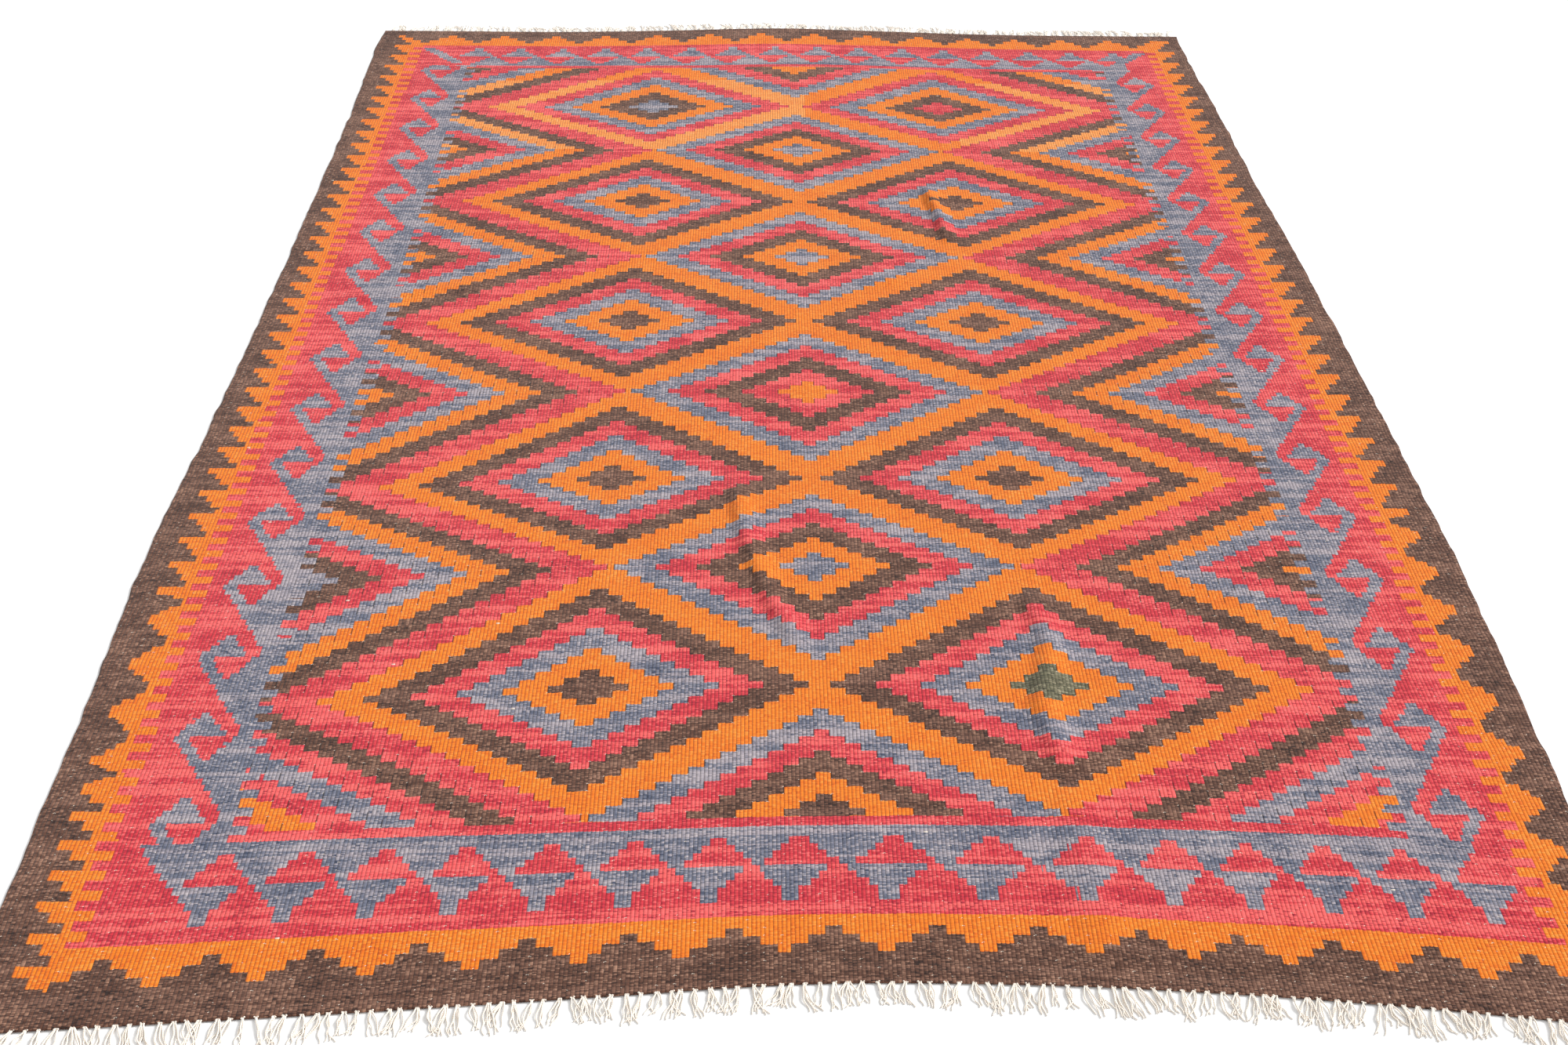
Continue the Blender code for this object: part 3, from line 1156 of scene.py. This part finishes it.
@dataclass
class Cloth:
    """The woven panel, as one closed sheet with rounded edges."""

    lay: Lay
    weave: KilimWeave
    thickness: float = 0.003
    pitch: float = 0.0138
    fine_pitch: float = 0.0055
    fine_runs: tuple[Point, ...] = ((0.86, 1.02), (1.27, 1.39))
    edge_stations: tuple[float, ...] = (0.0, 0.0012, 0.0030, 0.0060)
    edge_share: tuple[float, ...] = (0.30, 0.72, 0.95, 1.00)
    selvedge_wobble: float = 0.0030
    wobble_waves: Point = (13.0, 34.0)
    drift: Point = (0.0016, 0.0030)

    def stations(self, total: float, fine_runs: tuple[Point, ...] = ()) -> list[float]:
        """List grid positions along one side: close together at both edges and on fine runs.

        Args:
            total: the length of the side.
            fine_runs: the stretches that a ridge needs a finer grid on.

        Returns:
            The positions in order.
        """
        places = list(self.edge_stations)
        stops = [place for run in fine_runs for place in run] + [total - places[-1]]
        for index, stop in enumerate(stops):
            pitch = self.fine_pitch if index % 2 else self.pitch
            start = places[-1]
            count = round((stop - start) / pitch)
            places += [start + (stop - start) * step / count for step in range(1, count + 1)]
        return places + [total - value for value in reversed(self.edge_stations[:-1])]

    def fullness(self, across: float, along: float) -> float:
        """Work out how much of its thickness the cloth has, less towards its edges.

        Args:
            across: A in metres.
            along: B in metres.

        Returns:
            A share from 0 to 1.
        """
        table = tuple(zip(self.edge_stations, self.edge_share))
        side = min(across, self.lay.width - across)
        end = min(along, self.lay.length - along)
        shares = [paced(table, min(value, self.edge_stations[-1])) for value in (side, end)]
        return min(shares)

    def place(self, across: float, along: float) -> tuple[Vector, Vector]:
        """Place the top and the underside of one point of the cloth.

        Args:
            across: A in metres.
            along: B in metres.

        Returns:
            The point on top and the point underneath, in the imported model.
        """
        x, y = self.lay.plan(across, along)
        middle = self.lay.width / 2.0
        outward = (across - middle) / middle
        pull = self.selvedge_wobble * outward**15
        long_wave, short_wave = self.wobble_waves
        swing = wander(along * long_wave, 0.0, outward)
        x += pull * (swing + 0.9 * wander(along * short_wave, 5.0, outward))
        lift = self.lay.lift(x, y)
        share = self.fullness(across, along)
        half = self.thickness / 2.0
        base = self.lay.origin
        top = Vector((base.x + x, base.y + y, lift + half + half * share))
        under = Vector((base.x + x, base.y + y, lift + half - half * share))
        return top, under

    def maps(self, across: float, along: float, side: Side, end: End) -> dict[str, Point]:
        """Count steps, rows, hooks and teeth at one point of the cloth.

        Args:
            across: A in metres.
            along: B in metres.
            side: the selvedge that the face belongs to.
            end: the end that the face belongs to.

        Returns:
            The two coordinates of each map.
        """
        lay = self.lay
        weave = self.weave
        a = across + self.drift[0] * wander(across * 5.0, along * 4.0, 11.0)
        b = along + self.drift[1] * wander(across * 3.0, along * 4.0, 17.0)
        x, y = lay.plan(a, b)
        inward = x if side is Side.LEFT else lay.width - x
        edge = inward + paced(weave.sides.edges[side], y)
        reach = inward + paced(weave.sides.hook_edges[side], y)
        depth = b if end is End.NEAR else lay.length - b
        return {
            "cloth": (a, b),
            "field": (weave.lozenges.steps(x), weave.lozenges.count_rows(x, b, y)),
            "sides": (paced(weave.sides.hooks[side], y), paced(weave.sides.teeth[side], y)),
            "ends": (paced(weave.ends.hooks[end], x), paced(weave.ends.teeth[end], x)),
            "depth": (edge, paced(weave.ends.depths[end], depth)),
            "reach": (reach, y),
        }

    def build(self) -> bpy.types.Object:
        """Build the cloth and lay its maps.

        Returns:
            The cloth's object.
        """
        columns = self.stations(self.lay.width, self.fine_runs)
        rows = self.stations(self.lay.length)
        wide = len(columns)
        deep = len(rows)
        tops = []
        unders = []
        for along in rows:
            for across in columns:
                top, under = self.place(across, along)
                tops.append(top)
                unders.append(under)
        total = len(tops)
        faces = []
        for row in range(deep - 1):
            for corner in range(row * wide, row * wide + wide - 1):
                faces.append((corner, corner + 1, corner + wide + 1, corner + wide))
        faces += [tuple(total + index for index in reversed(face)) for face in faces]
        rim = list(range(wide))
        rim += [row * wide + wide - 1 for row in range(1, deep)]
        rim += [(deep - 1) * wide + column for column in reversed(range(wide - 1))]
        rim += [row * wide for row in reversed(range(1, deep - 1))]
        for here, there in zip(rim, rim[1:] + rim[:1]):
            faces.append((here, total + here, total + there, there))
        mesh = bpy.data.meshes.new("kilim_cloth")
        mesh.from_pydata(tops + unders, [], faces)
        self.lay_maps(mesh, columns, rows)
        return enter(mesh, self.weave.weave(), "cloth")

    def lay_maps(self, mesh: bpy.types.Mesh, columns: list[float], rows: list[float]) -> None:
        """Write every map of the cloth, face by face.

        Args:
            mesh: the cloth's mesh.
            columns: positions of the grid across.
            rows: positions of the grid along.
        """
        wide = len(columns)
        total = wide * len(rows)
        known: dict[tuple[int, Side, End], dict[str, Point]] = {}
        names = ("cloth", "field", "sides", "ends", "depth", "reach")
        flat: dict[str, list[float]] = {name: [] for name in names}
        for face in mesh.polygons:
            places = [index % total for index in face.vertices]
            across = sum(columns[index % wide] for index in places) / len(places)
            along = sum(rows[index // wide] for index in places) / len(places)
            side = Side.LEFT if across < self.lay.width / 2.0 else Side.RIGHT
            end = End.NEAR if along < self.lay.length / 2.0 else End.FAR
            for index in places:
                key = (index, side, end)
                if key not in known:
                    known[key] = self.maps(columns[index % wide], rows[index // wide], side, end)
                for name, values in known[key].items():
                    flat[name].extend(values)
        for name, values in flat.items():
            mesh.uv_layers.new(name=name).data.foreach_set("uv", values)


# ---------------------------------------------------------------- fringes


@dataclass(frozen=True)
class CottonEnds:
    """Undyed cotton warp, loosely plied, with painted shade in the grooves of the ply."""

    body: Colour = (0.90, 0.84, 0.76)
    # painted shade for the grooves of the ply twist, also the darker tone of random hairs
    shade: Colour = (0.76, 0.65, 0.54)
    ply: float = 0.0026

    def make(self) -> bpy.types.Material:
        """Make the cotton.

        Returns:
            The material of both fringes.
        """
        bench = Bench("warp_ends")
        turn, along = bench.map("strand")
        twist = (turn + along * (1.0 / self.ply)).wave()
        place = bench.point(turn, along * 300.0)
        hair = bench.fuzz(place, 1.0, 2.0)
        # painted shade: the shade colour is blended in along the ply twist, where its grooves are,
        # and by random hair noise
        tone = bench.blend((twist * 0.25 + hair).ease(0.75, 0.15), self.body, self.shade)
        height = twist * 0.5 + hair * 0.5
        relief = {"Strength": 0.6, "Distance": 0.0003, "Height": height}
        bump = bench.node("ShaderNodeBump", {}, relief)
        return bench.finish({
            "Base Color": tone,
            "Roughness": 0.88,
            "Specular IOR Level": 0.25,
            "Sheen Weight": 0.2,
            "Normal": bump.outputs[0],
        })


class Skein:
    """A mesh in the making: tubes and knots of one fringe, with a map along each strand."""

    def __init__(self) -> None:
        """Start with nothing in it."""
        self.points: list[Vector] = []
        self.faces: list[tuple[int, ...]] = []
        self.turns: list[float] = []

    def tube(self, path: list[Vector], radii: list[float], sides: int = 6) -> None:
        """Add one closed tube.

        Args:
            path: the points that it follows.
            radii: its radius at each point.
            sides: how many sides it has.
        """
        start = len(self.points)
        run = 0.0
        runs = []
        for index, point in enumerate(path):
            if index:
                run += (point - path[index - 1]).length
            runs.append(run)
            ahead = path[min(index + 1, len(path) - 1)] - path[max(index - 1, 0)]
            ahead.normalize()
            side = ahead.cross(Vector((0.0, 0.0, 1.0))).normalized()
            up = side.cross(ahead)
            for turn in range(sides):
                angle = math.tau * turn / sides
                offset = side * math.cos(angle) + up * math.sin(angle)
                self.points.append(point + offset * radii[index])
        for index in range(len(path) - 1):
            for turn in range(sides):
                after = (turn + 1) % sides
                low = start + index * sides
                high = low + sides
                self.faces.append((low + turn, low + after, high + after, high + turn))
                here = turn / sides
                there = (turn + 1) / sides
                near, far = runs[index], runs[index + 1]
                self.turns.extend((here, near, there, near, there, far, here, far))
        for ring, turns in ((0, reversed(range(sides))), (len(path) - 1, range(sides))):
            self.faces.append(tuple(start + ring * sides + turn for turn in turns))
            self.turns.extend((0.0, runs[ring]) * sides)

    def mesh(self, name: str) -> bpy.types.Mesh:
        """Close the skein into a mesh.

        Args:
            name: the mesh's name.

        Returns:
            The mesh with its map.
        """
        mesh = bpy.data.meshes.new(name)
        mesh.from_pydata(self.points, [], self.faces)
        mesh.uv_layers.new(name="strand").data.foreach_set("uv", self.turns)
        return mesh


@dataclass
class Fringe:
    """The warp ends along one end of the cloth, in small bundles."""

    end: End
    lay: Lay
    name: str
    node: str
    seed: int
    pitch: float = 0.0165
    margin: float = 0.010
    reach: tuple[float, float] = (0.031, 0.045)
    shortest: float = 0.86
    strand: float = 0.00105
    strand_gap: float = 0.0009
    strand_taper: float = 0.35
    segments: int = 16
    ply_counts: tuple[int, ...] = (3, 4, 4, 5, 6)
    stray: float = 0.0035
    lean: float = 0.013
    spread: tuple[float, float] = (0.0015, 0.0052)
    bend: float = 0.0065
    ripple: tuple[float, float] = (0.0005, 0.0021)
    waves: tuple[float, float] = (1.2, 2.6)
    hump: float = 0.0022
    tuck: float = 0.0015
    drop: float = 0.0017

    def edge(self, across: float, outward: float) -> Point:
        """Place a point a distance outside the end of the cloth.

        Args:
            across: A in metres.
            outward: distance out from the cloth.

        Returns:
            The place in plan.
        """
        along = 0.0 if self.end is End.NEAR else self.lay.length
        x, y = self.lay.plan(across, along)
        return x, y + (-outward if self.end is End.NEAR else outward)

    def strand_path(
        self, across: float, lean: float, reach: float, dice: random.Random
    ) -> list[Vector]:
        """Lay one strand from its knot out over the floor.

        Args:
            across: A of the knot.
            lean: how far its tip stands to one side.
            reach: how far out its tip lies.
            dice: the draws of this fringe.

        Returns:
            The points that it follows.
        """
        bend = dice.uniform(-self.bend, self.bend)
        ripple = dice.uniform(*self.ripple)
        phase = dice.uniform(0.0, 1.0)
        waves = dice.uniform(*self.waves)
        hump = dice.uniform(0.0, self.hump)
        base = self.lay.origin
        path = []
        for index in range(self.segments + 1):
            part = index / self.segments
            out = -self.tuck + (reach + self.tuck) * part
            aside = lean * part**1.4 + bend * math.sin(math.pi * part)
            aside += ripple * math.sin(math.tau * (waves * part + phase)) * part
            x, y = self.edge(across, out)
            fall = self.drop * (1.0 - part) ** 3
            rise = hump * math.sin(math.pi * min(part * 1.15, 1.0)) ** 2
            path.append(Vector((base.x + x + aside, base.y + y, self.strand + fall + rise)))
        return path

    def build(self, cotton: bpy.types.Material) -> bpy.types.Object:
        """Build every bundle of the fringe.

        Args:
            cotton: the material.

        Returns:
            The fringe's object.
        """
        dice = random.Random(self.seed)
        skein = Skein()
        room = self.lay.width - 2.0 * self.margin
        count = round(room / self.pitch)
        radii = [
            self.strand * (1.0 - self.strand_taper * (step / self.segments) ** 4)
            for step in range(self.segments + 1)
        ]
        for index in range(count):
            middle = self.margin + room * (index + 0.5) / count
            middle += dice.uniform(-self.stray, self.stray)
            lean = dice.uniform(-self.lean, self.lean)
            reach = dice.uniform(*self.reach)
            strands = dice.choice(self.ply_counts)
            for number in range(strands):
                place = number - (strands - 1) / 2.0
                tip = lean + place * dice.uniform(*self.spread)
                length = reach * dice.uniform(self.shortest, 1.0)
                path = self.strand_path(middle + place * self.strand_gap, tip, length, dice)
                skein.tube(path, radii)
            self.tie(skein, middle, dice)
        return enter(skein.mesh(self.name), cotton, self.node)

    def tie(self, skein: Skein, middle: float, dice: random.Random) -> None:
        """Add the pair of tiny knots that hold a bundle against the last pick.

        Args:
            skein: the fringe in the making.
            middle: A of the bundle.
            dice: the draws of this fringe.
        """
        base = self.lay.origin
        for hand in (-1.0, 1.0):
            aside = hand * dice.uniform(0.0014, 0.0026)
            x, y = self.edge(middle + aside, dice.uniform(-0.0022, 0.0004))
            centre = Vector((base.x + x, base.y + y, 0.0030 + dice.uniform(0.0, 0.0006)))
            size = dice.uniform(0.0009, 0.0014)
            way = Matrix.Rotation(dice.uniform(-0.8, 0.8), 3, "Z") @ Vector((size, 0.0, 0.0))
            path = [centre - way, centre - way * 0.6, centre, centre + way * 0.6, centre + way]
            skein.tube(path, [size * share for share in (0.15, 0.75, 1.0, 0.75, 0.15)])


# ---------------------------------------------------------------- studio


@dataclass
class Studio:
    """A plain pale floor, soft light and the camera."""

    lay: Lay
    floor_size: float = 40.0
    floor_tone: Colour = (0.90, 0.90, 0.90)
    fill: float = 0.75
    key: float = 3.6
    key_softness: float = math.radians(22.0)
    key_height: float = math.radians(34.0)
    key_bearing: float = math.radians(20.0)
    camera_place: tuple[float, float, float] = (0.92497, -1.22969, 1.71104)
    camera_ahead: tuple[float, float, float] = (0.01767879, 0.78984763, -0.61304828)
    camera_right: tuple[float, float, float] = (0.99983939, -0.01216099, 0.01316475)
    camera_lens: float = 39.806

    def build_floor(self) -> bpy.types.Object:
        """Lay the floor.

        Returns:
            The floor's object.
        """
        half = self.floor_size / 2.0
        mesh = bpy.data.meshes.new("floor")
        corners = [(-half, -half, 0.0), (half, -half, 0.0), (half, half, 0.0), (-half, half, 0.0)]
        mesh.from_pydata(corners, [], [(0, 1, 2, 3)])
        bench = Bench("floor_paint")
        mesh.materials.append(bench.finish({
            "Base Color": (*self.floor_tone, 1.0), "Roughness": 0.9, "Specular IOR Level": 0.0,
        }))
        floor = bpy.data.objects.new("floor", mesh)
        bpy.context.scene.collection.objects.link(floor)
        return floor

    def light(self) -> None:
        """Set an even white surround and one broad lamp from the right."""
        world = bpy.data.worlds.new("surround")
        world.use_nodes = True
        background = world.node_tree.nodes["Background"]
        background.inputs["Color"].default_value = (1.0, 1.0, 1.0, 1.0)
        background.inputs["Strength"].default_value = self.fill
        bpy.context.scene.world = world
        lamp = bpy.data.lights.new("key", "SUN")
        lamp.energy = self.key
        lamp.angle = self.key_softness
        key = bpy.data.objects.new("key", lamp)
        flat = math.cos(self.key_height)
        east, north = flat * math.cos(self.key_bearing), flat * math.sin(self.key_bearing)
        towards = Vector((east, north, math.sin(self.key_height)))
        key.rotation_mode = "QUATERNION"
        key.rotation_quaternion = towards.to_track_quat("Z", "Y")
        bpy.context.scene.collection.objects.link(key)

    def set_camera(self) -> None:
        """Stand the camera in front of the near end, looking down along the rug."""
        data = bpy.data.cameras.new("camera")
        data.lens = self.camera_lens
        data.clip_end = 100.0
        camera = bpy.data.objects.new("camera", data)
        ahead = Vector(self.camera_ahead).normalized()
        right = Vector(self.camera_right).normalized()
        up = right.cross(ahead)
        turn = Matrix((right, up, -ahead)).transposed().to_4x4()
        place = self.lay.origin + Vector(self.camera_place)
        camera.matrix_world = Matrix.Translation(place) @ turn
        bpy.context.scene.collection.objects.link(camera)
        bpy.context.scene.camera = camera
        bpy.context.scene.view_settings.view_transform = "Standard"


# ---------------------------------------------------------------- build


def main() -> None:
    """Build the studio and every piece of the rug."""
    logging.basicConfig(level=logging.INFO, format="%(name)s: %(message)s")
    lay = Lay()
    studio = Studio(lay)
    studio.set_camera()
    studio.light()
    floor = studio.build_floor()
    log.info("studio ready, floor %s", floor.name)
    cloth = Cloth(lay, KilimWeave(lay)).build()
    cotton = CottonEnds().make()
    fringes = [
        Fringe(End.NEAR, lay, "warp_fringe_near", "fringe_front", 11).build(cotton),
        Fringe(End.FAR, lay, "warp_fringe_far", "fringe_back", 23).build(cotton),
    ]


if __name__ == "__main__":
    main()
